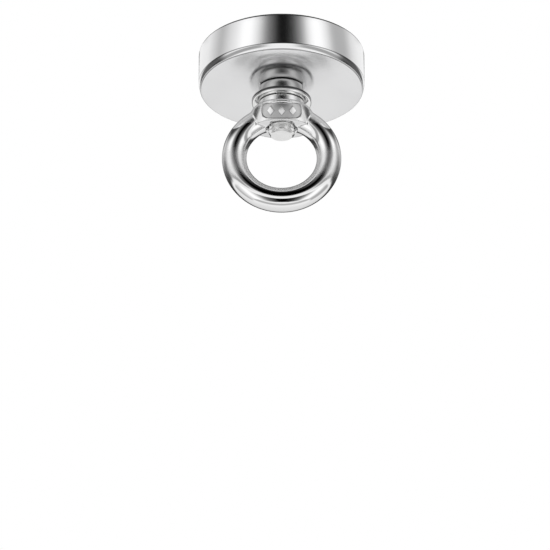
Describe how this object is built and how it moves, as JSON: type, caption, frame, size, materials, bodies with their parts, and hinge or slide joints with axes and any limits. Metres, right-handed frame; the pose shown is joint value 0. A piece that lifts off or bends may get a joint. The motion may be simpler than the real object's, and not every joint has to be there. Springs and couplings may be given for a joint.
{
  "type": "magnet fishing magnet",
  "caption": "Round pot magnet with a countersunk screw through its centre and a screwed-on eye nut, for recovering steel objects on a rope.",
  "frame": {"origin": "centre of the holding face, the flat face that meets the steel it clings to", "axes": "+Z out of the holding face, towards the steel above; the eye hangs towards -Z; the eye's ring lies in the XZ plane"},
  "size_m": [0.032, 0.032, 0.0344],
  "materials": {
    "nickel_plate": "bright nickel plating with a slight satin haze and fine wipe marks",
    "magnet_plate": "satin nickel plating over sintered magnet",
    "resin": "dark potting resin, slightly uneven",
    "bush_steel": "turned steel, nickel plated",
    "screw_steel": "stainless screw, rolled thread",
    "nut_steel": "stainless nut, bright flats",
    "washer_steel": "tumbled bright stainless washer",
    "polished_stainless": "mirror-polished cast stainless steel"
  },
  "bodies": {
    "magnet": {"pot_cup": "nickel_plate", "ring_magnet": "magnet_plate", "outer_resin_ring": "resin", "inner_resin_ring": "resin", "centre_bush": "bush_steel", "countersunk_screw": "screw_steel", "jam_nut": "nut_steel"},
    "washer": {"flat_washer": "washer_steel"},
    "eye": {"eye_nut": "polished_stainless"}
  },
  "joints": [
    {"name": "eye_travel", "type": "slide", "parent": "magnet", "child": "washer", "axis": [0, 0, -1], "range_m": [0, 0.0064]},
    {"name": "eye_turn", "type": "hinge", "parent": "washer", "child": "eye", "pos_m": [0, 0, -0.0112], "axis": [0, 0, -1], "range_deg": [0, 2880]}
  ],
  "couplings": [
    {"joint": "eye_travel", "follows": "eye_turn", "m_per_rad": 0.00012732}
  ]
}
